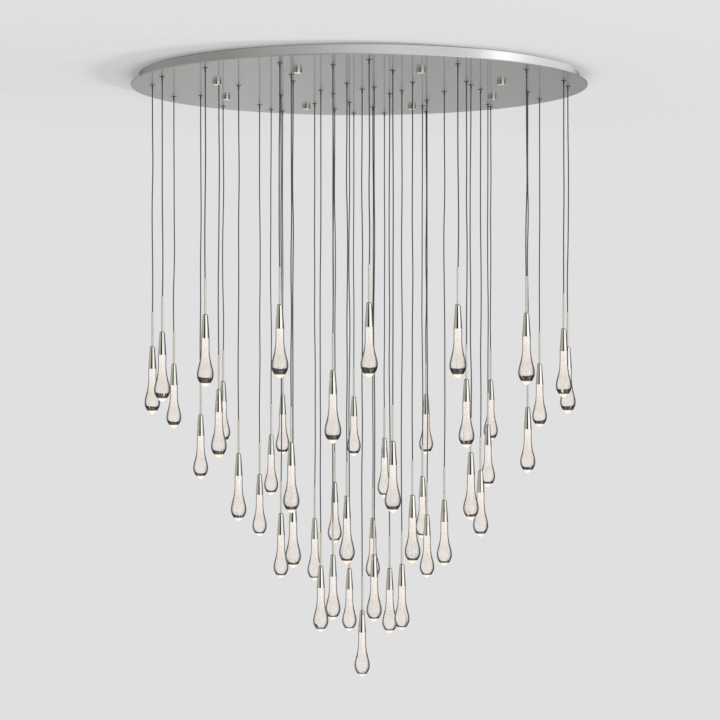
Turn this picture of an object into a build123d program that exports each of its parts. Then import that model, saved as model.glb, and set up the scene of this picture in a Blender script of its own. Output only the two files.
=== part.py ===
from build123d import *
import math
import os

# Crystal chandelier: a round canopy on the ceiling and 47 solid crystal drops on long cords.
# Millimetres. The origin is the centre of the ceiling face, +Z is up and the drops hang towards -Z.
# -Y is the front, the side that faces a viewer, and +X is that viewer's right.

# ---------------------------------------------------------------- fits
RUNNING = 0.05  # radial clearance of a shaft in its hole
LOOSE = 0.5  # radial clearance of a bolt or grip in sheet metal
SEAT = 0.1  # gap between a swinging end and the face above it

# ---------------------------------------------------------------- canopy
PLATE_DIAMETER = 1524.0  # the polished disc seen from below
PLATE_THICKNESS = 3.0
PLATE_EDGE_ROUND = 0.8
PLATE_OVERHANG = 27.0  # how far the disc stands out past the rim
RIM_HEIGHT = 32.0
RIM_WALL = 2.0
RIM_TOP_FLANGE = 15.0
RIM_BOTTOM_FLANGE = 22.0
RIM_STUD_COUNT = 12
RIM_STUD_RADIUS = 2.0
RIM_STUD_HEIGHT = 7.0
RIM_NUT_ACROSS_FLATS = 7.0
RIM_NUT_HEIGHT = 3.2

# ---------------------------------------------------------------- ceiling frame
ARM_COUNT = 8
FIRST_ARM_ANGLE = 22.5
ARM_WIDTH = 40.0
ARM_THICKNESS = 5.0
ARM_INNER_RADIUS = 60.0
ARM_PAST_STUD = 40.0
HUB_RADIUS = 110.0
HUB_THICKNESS = 3.0
STUD_CIRCLE = 1000.0
CEILING_SCREW_INSIDE_STUD = 50.0
CEILING_SCREW_HOLE_RADIUS = 3.5
STUD_RADIUS = 4.0
STUD_INTO_CAP = 9.5
STUD_NUT_ACROSS_FLATS = 13.0
STUD_NUT_HEIGHT = 6.5
CAP_RADIUS = 14.0
CAP_HEIGHT = 13.0
CAP_BORE_DEPTH = 10.0
CAP_EDGE_ROUND = 1.0

# ---------------------------------------------------------------- supply entry and junction box
SUPPLY_BORE_RADIUS = 7.0
BUSH_WALL = 4.0
BUSH_FLANGE_WIDTH = 4.0
BUSH_FLANGE_THICKNESS = 2.0
BUSH_ABOVE_HUB = 1.5
JUNCTION_CENTRE_X = -62.0
JUNCTION_LENGTH = 44.0
JUNCTION_WIDTH = 50.0
JUNCTION_HEIGHT = 13.0
JUNCTION_CORNER = 3.0

# ---------------------------------------------------------------- drivers, one under each arm
DRIVER_FROM_HUB = 8.0  # from the hub's edge to a driver's foot, where no grip is in its way
DRIVER_ROOM = 14.0  # from a driver's case to the middle of any grip beside it
DRIVER_LENGTH = 190.0
DRIVER_WIDTH = 42.0
DRIVER_HEIGHT = 18.0
DRIVER_CORNER = 1.0
DRIVER_FOOT_LENGTH = 12.0
DRIVER_FOOT_THICKNESS = 2.0
DRIVER_SCREW_RADIUS = 2.0
DRIVER_SCREW_DEPTH = 3.0
DRIVER_SCREW_HEAD_RADIUS = 3.8
DRIVER_SCREW_HEAD_HEIGHT = 2.0

# ---------------------------------------------------------------- cords, grips and wiring
CORD_RADIUS = 1.9
GRIP_FLANGE_RADIUS = 9.0
GRIP_FLANGE_THICKNESS = 2.0
GRIP_STEM_RADIUS = 2.7
GRIP_STEM_LENGTH = 11.0
GRIP_THREAD_RADIUS = 4.75
GRIP_THREAD_ABOVE_NUT = 1.0
GRIP_NUT_ACROSS_FLATS = 14.0
GRIP_NUT_HEIGHT = 6.0
OUTERMOST_GRIP_INSET = 65.0  # from the face plate's edge to the farthest grip
LEAD_BEND = 5.0
LEAD_ABOVE_GRIP = 0.2  # from the grip's top to where the lowest leads begin to bend
LEAD_LEVELS = 2
LEAD_LEVEL_GAP = 0.2  # between a lead and one that crosses over it
LEAD_SIDE_GAP = 1.0  # least room between two leads on the same level
LEAD_SHORTEST_RUN = 12.0  # from a grip to the point in front of its terminal
LEAD_APPROACH = 9.0  # the straight stretch squarely in front of a terminal
LEAD_MOST_SIDEWAYS = 0.35  # cosine of the widest angle at which a lead turns into its terminal
TERMINAL_PITCH = 6.0
MAINS_RADIUS = 1.5
MAINS_BELOW_ARM = 0.3
FEED_SPACING = 16.0
LINK_FROM_DRIVER_END = 15.0

# ---------------------------------------------------------------- one drop
CRYSTAL_LENGTH = 151.0
CRYSTAL_NECK_RADIUS = 13.0
CRYSTAL_WAIST_RADIUS = 14.2
CRYSTAL_WAIST_BELOW_CUP = 52.0
CRYSTAL_FLANK_RADIUS = 19.4
CRYSTAL_FLANK_BELOW_CUP = 80.0
CRYSTAL_BULB_RADIUS = 26.0
CRYSTAL_BULB_BELOW_CUP = 113.0
CRYSTAL_CHIN_RADIUS = 18.6
CRYSTAL_CHIN_ABOVE_TIP = 15.5
CRYSTAL_TIP_SLOPE = 0.3  # fall for each millimetre inwards where the two sides meet at the tip
CRYSTAL_SPIGOT_RADIUS = 10.9
CRYSTAL_SPIGOT_LENGTH = 13.5
CUP_LENGTH = 74.0
CUP_TOP_RADIUS = 8.0
CUP_SHOULDER = 3.5
CUP_MOUTH_RADIUS = 13.3
CUP_MOUTH_DEPTH = 14.0
LAMP_RADIUS = 9.0
LAMP_HEIGHT = 12.0
LAMP_ABOVE_MOUTH = 18.0
LAMP_LENS_RADIUS = 6.0
LAMP_LENS_HEIGHT = 1.5
STEM_RADIUS = 3.7
STEM_SHOWING = 113.0
STEM_INTO_CUP = 32.0

# ---------------------------------------------------------------- where the drops hang
# (across, towards the back, tip below the face plate)
LEFT_FLANK = [
    (-685, -85, 1090),
    (-630, -285, 1040),
    (-645, 210, 1155),
    (-475, -480, 985),
    (-550, 190, 1330),
    (-460, -145, 1230),
    (-495, 485, 1225),
    (-400, -75, 1445),
]
LEFT_MIDDLE = [
    (-360, 445, 1560),
    (-325, 580, 1425),
    (-240, -585, 955),
    (-285, 635, 1280),
    (-215, -335, 1390),
    (-270, 165, 1670),
    (-215, -185, 1585),
    (-160, 410, 1715),
    (-80, -545, 1155),
    (-90, 565, 1600),
]
CENTRE = [
    (-40, -130, 1580),
    (-20, 695, 1290),
    (-130, 50, 1835),
    (-90, 140, 1810),
    (-35, 375, 1890),
    (10, 15, 1980),
    (30, -655, 950),
    (50, 510, 1725),
    (50, -40, 1785),
    (105, 135, 1855),
    (145, 55, 1830),
]
RIGHT_MIDDLE = [
    (95, 690, 1445),
    (105, -425, 1380),
    (175, -155, 1575),
    (250, 650, 1280),
    (230, 475, 1570),
    (240, 310, 1690),
    (290, 75, 1615),
    (300, -565, 955),
    (350, -175, 1195),
    (370, -90, 1440),
    (410, 25, 1510),
]
RIGHT_FLANK = [
    (480, 500, 1220),
    (465, 435, 1380),
    (520, -445, 980),
    (575, 85, 1300),
    (635, 275, 1155),
    (665, -195, 1030),
    (695, -55, 1090),
]

# ---------------------------------------------------------------- heights and radii that follow
PLATE_TOP = -RIM_HEIGHT
PLATE_UNDERSIDE = PLATE_TOP - PLATE_THICKNESS
PLATE_RADIUS = PLATE_DIAMETER / 2
RIM_RADIUS = PLATE_RADIUS - PLATE_OVERHANG
RIM_STUD_CIRCLE_RADIUS = RIM_RADIUS - RIM_WALL - RIM_BOTTOM_FLANGE / 2
ARM_UNDERSIDE = -ARM_THICKNESS
ARM_OUTER_RADIUS = STUD_CIRCLE / 2 + ARM_PAST_STUD
HUB_UNDERSIDE = ARM_UNDERSIDE - HUB_THICKNESS
CEILING_SCREW_REACH = STUD_CIRCLE / 2 - CEILING_SCREW_INSIDE_STUD
GRIP_HOLE_RADIUS = GRIP_THREAD_RADIUS + LOOSE / 2
GRIP_MOUTH = PLATE_UNDERSIDE - GRIP_FLANGE_THICKNESS - GRIP_STEM_LENGTH
GRIP_TOP = PLATE_TOP + GRIP_NUT_HEIGHT + GRIP_THREAD_ABOVE_NUT
LEAD_LOWEST = GRIP_TOP + LEAD_ABOVE_GRIP + LEAD_BEND
LEAD_STEP = 2 * CORD_RADIUS + LEAD_LEVEL_GAP
LEAD_PITCH = 2 * CORD_RADIUS + LEAD_SIDE_GAP
PIVOT = GRIP_MOUTH - SEAT - CORD_RADIUS
ARM_ANGLES = [FIRST_ARM_ANGLE + 360 / ARM_COUNT * k for k in range(ARM_COUNT)]
SCATTER = LEFT_FLANK + LEFT_MIDDLE + CENTRE + RIGHT_MIDDLE + RIGHT_FLANK
SPREAD = (PLATE_RADIUS - OUTERMOST_GRIP_INSET) / max(math.hypot(x, y) for x, y, tip in SCATTER)
DROPS = [(x * SPREAD, y * SPREAD, tip) for x, y, tip in SCATTER]


def rod(radius, low, high, x=0.0, y=0.0):
    """An upright cylinder between two heights."""
    bottom = (Align.CENTER, Align.CENTER, Align.MIN)
    return Pos(x, y, low) * Cylinder(radius, high - low, align=bottom)


def tube(outer, inner, low, high, x=0.0, y=0.0):
    """An upright tube between two heights, its bore cut right through."""
    return rod(outer, low, high, x, y) - rod(inner, low - 1, high + 1, x, y)


def hex_nut(across_flats, bore, low, high):
    """A hexagon nut on the Z axis between two heights."""
    corner_radius = across_flats / math.sqrt(3)
    prism = Pos(0, 0, low) * extrude(RegularPolygon(corner_radius, 6), high - low)
    return prism - rod(bore, low - 1, high + 1)


def around(angle, radius):
    """The point at this angle and radius about the Z axis."""
    turned = math.radians(angle)
    return radius * math.cos(turned), radius * math.sin(turned)


def turned(point, angle):
    """A point turned about the Z axis."""
    reach = math.hypot(*point)
    return around(math.degrees(math.atan2(point[1], point[0])) + angle, reach)


def at_each(places, shape):
    """A copy of one shape at each (x, y)."""
    return [Pos(x, y, 0) * shape for x, y in places]


def save(name, solids):
    """Writes one node's solids to its file."""
    parts = list(solids)
    for number, part in enumerate(parts, start=1):
        part.label = name if len(parts) == 1 else f"{name}_{number}"
    whole = parts[0] if len(parts) == 1 else Compound(label=name, children=parts)
    export_step(whole, f"parts/{name}.step")


# ---------------------------------------------------------------- canopy pieces
def stud_places():
    """The eight hanger studs' centres."""
    return [around(angle, STUD_CIRCLE / 2) for angle in ARM_ANGLES]


def rim_stud_places():
    """The studs that hold the rim to the face plate."""
    step = 360 / RIM_STUD_COUNT
    return [around(step * k, RIM_STUD_CIRCLE_RADIUS) for k in range(RIM_STUD_COUNT)]


def face_plate():
    """The disc, drilled for the cord grips and the hanger studs."""
    plate = rod(PLATE_RADIUS, PLATE_UNDERSIDE, PLATE_TOP)
    edge = plate.edges().group_by(Axis.Z)[0]
    plate = fillet(edge, PLATE_EDGE_ROUND)
    low = PLATE_UNDERSIDE - 1
    high = PLATE_TOP + 1
    holes = [rod(GRIP_HOLE_RADIUS, low, high, x, y) for x, y, tip in DROPS]
    holes += [rod(STUD_RADIUS + LOOSE, low, high, x, y) for x, y in stud_places()]
    return plate - holes


def canopy_rim():
    """The upright band between ceiling and plate, with a flange turned in at each edge."""
    inner = RIM_RADIUS - RIM_WALL
    band = tube(RIM_RADIUS, inner, PLATE_TOP, 0)
    top = tube(inner + RIM_WALL / 2, inner - RIM_TOP_FLANGE, -RIM_WALL, 0)
    seat = PLATE_TOP + RIM_WALL
    bottom = tube(inner + RIM_WALL / 2, inner - RIM_BOTTOM_FLANGE, PLATE_TOP, seat)
    hole = rod(RIM_STUD_RADIUS + LOOSE / 2, PLATE_TOP - 1, seat + 1)
    return band + top + bottom - at_each(rim_stud_places(), hole)


def rim_fixings():
    """The studs welded upright on the plate that hold the rim, and one nut on each."""
    stud = rod(RIM_STUD_RADIUS, PLATE_TOP, PLATE_TOP + RIM_STUD_HEIGHT)
    seat = PLATE_TOP + RIM_WALL
    bore = RIM_STUD_RADIUS + RUNNING
    nut = hex_nut(RIM_NUT_ACROSS_FLATS, bore, seat, seat + RIM_NUT_HEIGHT)
    return at_each(rim_stud_places(), stud) + at_each(rim_stud_places(), nut)


def arm(angle):
    """One flat arm with holes for its stud, its ceiling screw and its driver's screws."""
    length = ARM_OUTER_RADIUS - ARM_INNER_RADIUS
    middle = (ARM_OUTER_RADIUS + ARM_INNER_RADIUS) / 2
    bar = Pos(middle, 0, ARM_UNDERSIDE / 2) * Box(length, ARM_WIDTH, ARM_THICKNESS)
    bar = fillet(bar.edges().filter_by(Axis.Z).group_by(Axis.X)[-1], ARM_WIDTH / 5)
    low = ARM_UNDERSIDE - 1
    bar -= rod(STUD_RADIUS + RUNNING, low, 1, STUD_CIRCLE / 2)
    bar -= rod(CEILING_SCREW_HOLE_RADIUS, low, 1, CEILING_SCREW_REACH)
    screw_hole_top = ARM_UNDERSIDE + DRIVER_SCREW_DEPTH + RUNNING
    for reach in driver_screw_reaches(angle):
        bar -= rod(DRIVER_SCREW_RADIUS + RUNNING, low, screw_hole_top, reach)
    return Rot(0, 0, angle) * bar


def ceiling_frame():
    """Eight flat arms against the ceiling, seated on a round hub that holds the supply entry."""
    bush_hole = SUPPLY_BORE_RADIUS + BUSH_WALL + RUNNING
    hub = tube(HUB_RADIUS, bush_hole, HUB_UNDERSIDE, ARM_UNDERSIDE)
    return [hub] + [arm(angle) for angle in ARM_ANGLES]


def hanger_studs():
    """The studs that the canopy hangs on, each with its nut under the arm."""
    low = PLATE_UNDERSIDE - STUD_INTO_CAP
    stud = rod(STUD_RADIUS, low, -SEAT)
    nut_low = ARM_UNDERSIDE - STUD_NUT_HEIGHT
    nut = hex_nut(STUD_NUT_ACROSS_FLATS, STUD_RADIUS + RUNNING, nut_low, ARM_UNDERSIDE)
    return at_each(stud_places(), stud) + at_each(stud_places(), nut)


def cap_nuts():
    """Plain round cap nuts, bored blind from above, that clamp the face plate."""
    cap = rod(CAP_RADIUS, PLATE_UNDERSIDE - CAP_HEIGHT, PLATE_UNDERSIDE)
    cap = fillet(cap.edges().group_by(Axis.Z)[0], CAP_EDGE_ROUND)
    bore_low = PLATE_UNDERSIDE - CAP_BORE_DEPTH
    cap -= rod(STUD_RADIUS + RUNNING, bore_low, PLATE_UNDERSIDE + 1)
    return at_each(stud_places(), cap)


def supply_bush():
    """The flanged bush that the supply cable comes in through."""
    outer = SUPPLY_BORE_RADIUS + BUSH_WALL
    flange = outer + BUSH_FLANGE_WIDTH
    flange_low = HUB_UNDERSIDE - BUSH_FLANGE_THICKNESS
    body = rod(outer, flange_low, ARM_UNDERSIDE + BUSH_ABOVE_HUB)
    body += rod(flange, flange_low, HUB_UNDERSIDE)
    return body - rod(SUPPLY_BORE_RADIUS, flange_low - 1, 1)


def junction_box():
    """The closed box under the hub where the supply is shared out."""
    middle = HUB_UNDERSIDE - JUNCTION_HEIGHT / 2
    box = Box(JUNCTION_LENGTH, JUNCTION_WIDTH, JUNCTION_HEIGHT)
    box = fillet(box.edges().filter_by(Axis.Z), JUNCTION_CORNER)
    return Pos(JUNCTION_CENTRE_X, 0, middle) * box


# ---------------------------------------------------------------- drivers
def driver_reach(angle):
    """How far out a driver's case starts: as near the hub as it can sit clear of the grips."""
    grips = sorted(turned((x, y), -angle) for x, y, tip in DROPS)
    beside = [along for along, across in grips if abs(across) < DRIVER_WIDTH / 2 + DRIVER_ROOM]
    reach = HUB_RADIUS + DRIVER_FROM_HUB + DRIVER_FOOT_LENGTH
    for along in beside:
        if reach - DRIVER_ROOM < along < reach + DRIVER_LENGTH + DRIVER_ROOM:
            reach = along + DRIVER_ROOM
    return reach


def driver_screw_reaches(angle):
    """How far out the two screws of an arm's driver are."""
    near_end = driver_reach(angle)
    half_foot = DRIVER_FOOT_LENGTH / 2
    return near_end - half_foot, near_end + DRIVER_LENGTH + half_foot


def led_driver(angle):
    """One long driver case with a drilled foot at both ends."""
    middle = driver_reach(angle) + DRIVER_LENGTH / 2
    case = Box(DRIVER_LENGTH, DRIVER_WIDTH, DRIVER_HEIGHT)
    case = fillet(case.edges().filter_by(Axis.X), DRIVER_CORNER)
    case = Pos(middle, 0, ARM_UNDERSIDE - DRIVER_HEIGHT / 2) * case
    feet_length = DRIVER_LENGTH + 2 * DRIVER_FOOT_LENGTH
    foot_low = ARM_UNDERSIDE - DRIVER_FOOT_THICKNESS
    foot_middle = ARM_UNDERSIDE - DRIVER_FOOT_THICKNESS / 2
    feet_width = DRIVER_WIDTH - 2 * DRIVER_CORNER
    case += Pos(middle, 0, foot_middle) * Box(feet_length, feet_width, DRIVER_FOOT_THICKNESS)
    hole = DRIVER_SCREW_RADIUS + RUNNING
    for reach in driver_screw_reaches(angle):
        case -= rod(hole, foot_low - 1, ARM_UNDERSIDE + 1, reach)
    return Rot(0, 0, angle) * case


def driver_screws(angle):
    """Two screws up through a driver's feet into its arm."""
    head_top = ARM_UNDERSIDE - DRIVER_FOOT_THICKNESS
    head_low = head_top - DRIVER_SCREW_HEAD_HEIGHT
    screws = []
    for reach in driver_screw_reaches(angle):
        shank = rod(DRIVER_SCREW_RADIUS, head_top, ARM_UNDERSIDE + DRIVER_SCREW_DEPTH, reach)
        screws.append(shank + rod(DRIVER_SCREW_HEAD_RADIUS, head_low, head_top, reach))
    return [Rot(0, 0, angle) * screw for screw in screws]


# ---------------------------------------------------------------- grips and wiring
def cord_grips():
    """Flange, lower stem and threaded shank in one, bored for the cord."""
    flange_low = PLATE_UNDERSIDE - GRIP_FLANGE_THICKNESS
    grip = rod(GRIP_STEM_RADIUS, GRIP_MOUTH, PLATE_UNDERSIDE)
    grip += rod(GRIP_FLANGE_RADIUS, flange_low, PLATE_UNDERSIDE)
    grip += rod(GRIP_THREAD_RADIUS, flange_low, GRIP_TOP)
    grip -= rod(CORD_RADIUS + RUNNING, GRIP_MOUTH - 1, GRIP_TOP + 1)
    return at_each([(x, y) for x, y, tip in DROPS], grip)


def grip_nuts():
    """One nut above the plate on each grip."""
    bore = GRIP_THREAD_RADIUS + RUNNING
    nut = hex_nut(GRIP_NUT_ACROSS_FLATS, bore, PLATE_TOP, PLATE_TOP + GRIP_NUT_HEIGHT)
    return at_each([(x, y) for x, y, tip in DROPS], nut)


def evenly(low, high):
    """Places one terminal pitch apart that fill the stretch between two values."""
    count = int((high - low) / TERMINAL_PITCH)
    first = (low + high - count * TERMINAL_PITCH) / 2
    return [first + TERMINAL_PITCH * k for k in range(count + 1)]


def terminals():
    """Every place where a lead can enter a driver, as (point, outward normal)."""
    half = DRIVER_WIDTH / 2
    margin = TERMINAL_PITCH / 2
    places = []
    for angle in ARM_ANGLES:
        near = driver_reach(angle)
        far = near + DRIVER_LENGTH
        around_case = []
        for along in evenly(near + margin, far - margin):
            around_case += [((along, half), (0, 1)), ((along, -half), (0, -1))]
        for across in evenly(margin - half, half - margin):
            around_case += [((near, across), (-1, 0)), ((far, across), (1, 0))]
        places += [(turned(point, angle), turned(normal, angle)) for point, normal in around_case]
    return places


def in_front(terminal):
    """The point from which a lead goes squarely into a terminal."""
    point, normal = terminal
    return point[0] + normal[0] * LEAD_APPROACH, point[1] + normal[1] * LEAD_APPROACH


def track(*points):
    """A run seen in plan."""
    return Wire.make_polygon([(x, y, 0) for x, y in points], close=False)


def can_reach(grip, terminal):
    """Whether a straight run comes at the terminal from ahead, clear of studs and other grips."""
    point, normal = terminal
    away = (grip[0] - point[0], grip[1] - point[1])
    ahead = (away[0] * normal[0] + away[1] * normal[1]) / math.hypot(*away)
    if ahead < LEAD_MOST_SIDEWAYS or math.dist(grip, in_front(terminal)) < LEAD_SHORTEST_RUN:
        return False
    run = track(grip, in_front(terminal))
    nut = STUD_NUT_ACROSS_FLATS / math.sqrt(3)
    blocks = [(place, nut) for place in stud_places()]
    blocks += [((x, y), CORD_RADIUS) for x, y, tip in DROPS if (x, y) != grip]
    return all(run.distance_to(Vertex(*at, 0)) > size + LEAD_PITCH / 2 for at, size in blocks)


def level_over(run, placed):
    """The lowest level on which a run passes over every lead that it crosses."""
    crossed = [level for other, level in placed if run.distance_to(other) < LEAD_PITCH]
    return max(crossed, default=-1) + 1


def choose(grip, free, placed):
    """The nearest free terminal that a grip's lead can reach, with its run and its level."""
    for terminal in sorted(free, key=lambda place: math.dist(grip, place[0])):
        if can_reach(grip, terminal):
            run = track(grip, in_front(terminal), terminal[0])
            level = level_over(run, placed)
            if level < LEAD_LEVELS:
                return terminal, run, level


def lead_routes():
    """Each drop's lead as (grip, terminal, level), chosen from the shortest to the longest."""
    free = terminals()
    grips = [(x, y) for x, y, tip in DROPS]
    grips.sort(key=lambda grip: min(math.dist(grip, point) for point, normal in free))
    routes = []
    placed = []
    for grip in grips:
        terminal, run, level = choose(grip, free, placed)
        free.remove(terminal)
        placed.append((run, level))
        routes.append((grip, terminal, level))
    return routes


def cable(points, radius, bend):
    """A round cable swept along straight stretches joined by bends."""
    path = FilletPolyline(*points, radius=bend)
    start = Vector(*points[0])
    section = Plane(origin=start, z_dir=Vector(*points[1]) - start) * Circle(radius)
    return sweep(section, path=path)


def drop_leads():
    """The fixed stretch of each cord: up through its grip, over a bend and across to a driver."""
    leads = []
    for grip, terminal, level in lead_routes():
        height = LEAD_LOWEST + LEAD_STEP * level
        foot = (*grip, GRIP_MOUTH)
        points = [foot, (*grip, height), (*in_front(terminal), height), (*terminal[0], height)]
        leads.append(cable(points, CORD_RADIUS, LEAD_BEND))
    return leads


def supply_feeds():
    """Two cables from the junction box to the drivers on either side of it."""
    left = JUNCTION_CENTRE_X - JUNCTION_LENGTH / 2
    level = HUB_UNDERSIDE - JUNCTION_HEIGHT / 2
    feeds = []
    for side in (1, -1):
        angle = 180 - side * FIRST_ARM_ANGLE
        exit_y = side * FEED_SPACING / 2
        entry = around(angle, driver_reach(angle))
        before = around(angle, driver_reach(angle) - LEAD_APPROACH)
        corners = [(left, exit_y), (left - LEAD_APPROACH, exit_y), before, entry]
        feeds.append(cable([(*corner, level) for corner in corners], MAINS_RADIUS, LEAD_BEND))
    return feeds


def driver_links():
    """A mains cable from each driver to the next, leaving out the gap that the two feeds span."""
    level = ARM_UNDERSIDE - MAINS_BELOW_ARM - MAINS_RADIUS
    half = DRIVER_WIDTH / 2
    links = []
    for angle in ARM_ANGLES:
        following = angle + 360 / ARM_COUNT
        if angle < 180 < following:
            continue
        along = driver_reach(angle) + LINK_FROM_DRIVER_END
        next_along = driver_reach(following) + LINK_FROM_DRIVER_END
        corners = [turned((along, half), angle), turned((along, half + LEAD_APPROACH), angle)]
        corners.append(turned((next_along, -half - LEAD_APPROACH), following))
        corners.append(turned((next_along, -half), following))
        links.append(cable([(*corner, level) for corner in corners], MAINS_RADIUS, LEAD_BEND))
    return links


# ---------------------------------------------------------------- a drop's pieces, the cup's mouth at height 0
def stem():
    """The thin tube above the cup, its lower end screwed into the cup."""
    low = CUP_LENGTH - STEM_INTO_CUP
    return tube(STEM_RADIUS, CORD_RADIUS + RUNNING, low, CUP_LENGTH + STEM_SHOWING)


def cup():
    """The slim metal cone: round shoulder, bore for the stem, seat for the lamp and the crystal."""
    with BuildPart() as cone:
        with BuildSketch(Plane.XZ):
            with BuildLine():
                Polyline((0, 0), (CUP_MOUTH_RADIUS, 0), (CUP_TOP_RADIUS, CUP_LENGTH), (0, CUP_LENGTH))
                Line((0, CUP_LENGTH), (0, 0))
            make_face()
        revolve(axis=Axis.Z)
        fillet(cone.edges().group_by(Axis.Z)[-1], CUP_SHOULDER)
    body = cone.part
    body -= rod(CRYSTAL_SPIGOT_RADIUS + RUNNING, -1, CUP_MOUTH_DEPTH)
    body -= rod(LAMP_RADIUS + RUNNING, -1, LAMP_ABOVE_MOUTH + LAMP_HEIGHT)
    body -= rod(STEM_RADIUS + RUNNING, CUP_LENGTH - STEM_INTO_CUP, CUP_LENGTH + 1)
    return body - rod(CORD_RADIUS + RUNNING, 0, CUP_LENGTH)


def lamp():
    """The LED module at the top of the cup's cavity, facing down into the crystal."""
    body = rod(LAMP_RADIUS, LAMP_ABOVE_MOUTH, LAMP_ABOVE_MOUTH + LAMP_HEIGHT)
    return body + rod(LAMP_LENS_RADIUS, LAMP_ABOVE_MOUTH - LAMP_LENS_HEIGHT, LAMP_ABOVE_MOUTH)


def crystal():
    """A solid teardrop of glass: near-straight neck, round bulb, and a spigot up into the cup."""
    neck = (CRYSTAL_NECK_RADIUS, 0)
    waist = (CRYSTAL_WAIST_RADIUS, -CRYSTAL_WAIST_BELOW_CUP)
    flank = (CRYSTAL_FLANK_RADIUS, -CRYSTAL_FLANK_BELOW_CUP)
    bulb = (CRYSTAL_BULB_RADIUS, -CRYSTAL_BULB_BELOW_CUP)
    chin = (CRYSTAL_CHIN_RADIUS, CRYSTAL_CHIN_ABOVE_TIP - CRYSTAL_LENGTH)
    tip = (0, -CRYSTAL_LENGTH)
    with BuildPart() as drop:
        with BuildSketch(Plane.XZ):
            with BuildLine():
                Spline(neck, waist, flank, bulb, tangents=((0, -1), (0, -1)))
                Spline(bulb, chin, tip, tangents=((0, -1), (-1, -CRYSTAL_TIP_SLOPE)))
                Line(tip, (0, CRYSTAL_SPIGOT_LENGTH))
                Line((0, CRYSTAL_SPIGOT_LENGTH), (CRYSTAL_SPIGOT_RADIUS, CRYSTAL_SPIGOT_LENGTH))
                Line((CRYSTAL_SPIGOT_RADIUS, CRYSTAL_SPIGOT_LENGTH), (CRYSTAL_SPIGOT_RADIUS, 0))
                Line((CRYSTAL_SPIGOT_RADIUS, 0), neck)
            make_face()
        revolve(axis=Axis.Z)
    return drop.part


def cord(mouth):
    """A drop's straight cord, from its pivot at the grip down to the lamp.

    Its upper end is rounded about the swing axis, which lies along Y."""
    low = mouth + LAMP_ABOVE_MOUTH + LAMP_HEIGHT
    whole = rod(CORD_RADIUS, low, PIVOT + CORD_RADIUS)
    side = 2 * CORD_RADIUS
    below = Pos(0, 0, (low + PIVOT) / 2) * Box(2 * side, 2 * side, PIVOT - low)
    knuckle = Pos(0, 0, PIVOT) * Rot(90, 0, 0) * Cylinder(CORD_RADIUS, 2 * side)
    return whole & (below + knuckle)


def drops():
    """Every drop as (name, its solids): cord, stem, cup, lamp and crystal."""
    pieces = [stem(), cup(), lamp(), crystal()]
    for number, (x, y, tip) in enumerate(DROPS, start=1):
        mouth = PLATE_UNDERSIDE - tip + CRYSTAL_LENGTH
        solids = [Pos(x, y, 0) * cord(mouth)]
        solids += [Pos(x, y, mouth) * piece for piece in pieces]
        yield f"pendant_{number:02d}", solids


os.makedirs("parts", exist_ok=True)
save("face_plate", [face_plate()])
save("canopy_rim", [canopy_rim()])
save("rim_fixings", rim_fixings())
save("ceiling_frame", ceiling_frame())
save("hanger_studs", hanger_studs())
save("cap_nuts", cap_nuts())
save("supply_bush", [supply_bush()])
save("junction_box", [junction_box()])
save("led_drivers", [led_driver(angle) for angle in ARM_ANGLES])
save("driver_screws", [screw for angle in ARM_ANGLES for screw in driver_screws(angle)])
save("cord_grips", cord_grips())
save("grip_nuts", grip_nuts())
save("wiring", drop_leads() + supply_feeds() + driver_links())
for drop_name, drop_solids in drops():
    save(drop_name, drop_solids)
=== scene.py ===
import math

import bpy
import numpy as np
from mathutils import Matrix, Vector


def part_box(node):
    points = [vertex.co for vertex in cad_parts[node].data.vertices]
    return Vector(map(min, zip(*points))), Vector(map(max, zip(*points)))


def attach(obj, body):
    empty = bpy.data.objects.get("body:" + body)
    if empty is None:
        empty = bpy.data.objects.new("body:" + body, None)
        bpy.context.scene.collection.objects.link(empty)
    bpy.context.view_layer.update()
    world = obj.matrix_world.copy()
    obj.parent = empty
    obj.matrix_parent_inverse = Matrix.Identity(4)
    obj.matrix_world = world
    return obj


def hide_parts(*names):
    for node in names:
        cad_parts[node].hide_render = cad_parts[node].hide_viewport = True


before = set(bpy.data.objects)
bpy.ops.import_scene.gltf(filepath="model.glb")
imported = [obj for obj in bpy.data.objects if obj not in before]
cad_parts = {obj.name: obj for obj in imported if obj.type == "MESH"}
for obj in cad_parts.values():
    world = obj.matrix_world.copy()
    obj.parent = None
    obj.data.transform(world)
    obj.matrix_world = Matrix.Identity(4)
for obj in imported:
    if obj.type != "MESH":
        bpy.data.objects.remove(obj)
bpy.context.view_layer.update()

# A crystal chandelier on the ceiling: a round polished canopy and 47 glass drops on cords.
# Metres. The origin is the centre of the ceiling face, +Z is up, and -Y is the front.

# ---------------------------------------------------------------- camera and picture
PICTURE = 720
SENSOR_WIDTH = 36.0
FOCAL_PIXELS = 1748.0
CAMERA_DISTANCE = 5.875
CAMERA_HEIGHT = -0.8145
MIDDLE_COLUMN = 359.15
HORIZON_ROW = 320.5
BACKGROUND = 0.745

# ---------------------------------------------------------------- canopy, as in the part
PLATE_RADIUS = 0.762
PLATE_TOP = -0.032
PLATE_UNDERSIDE = -0.035
RIM_RADIUS = 0.735
RIM_WALL = 0.002
RIM_TOP_FLANGE = 0.015
RIM_BOTTOM_FLANGE = 0.022
CAP_RADIUS = 0.014
CAP_HEIGHT = 0.013
CAP_BORE_RADIUS = 0.00405
CAP_BORE_DEPTH = 0.010
STUD_CIRCLE_RADIUS = 0.5
ARM_ANGLES = [22.5 + 45.0 * k for k in range(8)]
GRIP_FLANGE_RADIUS = 0.009
GRIP_FLANGE_THICKNESS = 0.002
GRIP_STEM_RADIUS = 0.0027
GRIP_STEM_LENGTH = 0.011
GRIP_THREAD_RADIUS = 0.00475
GRIP_TOP = -0.025
GRIP_BORE_RADIUS = 0.00195

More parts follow.
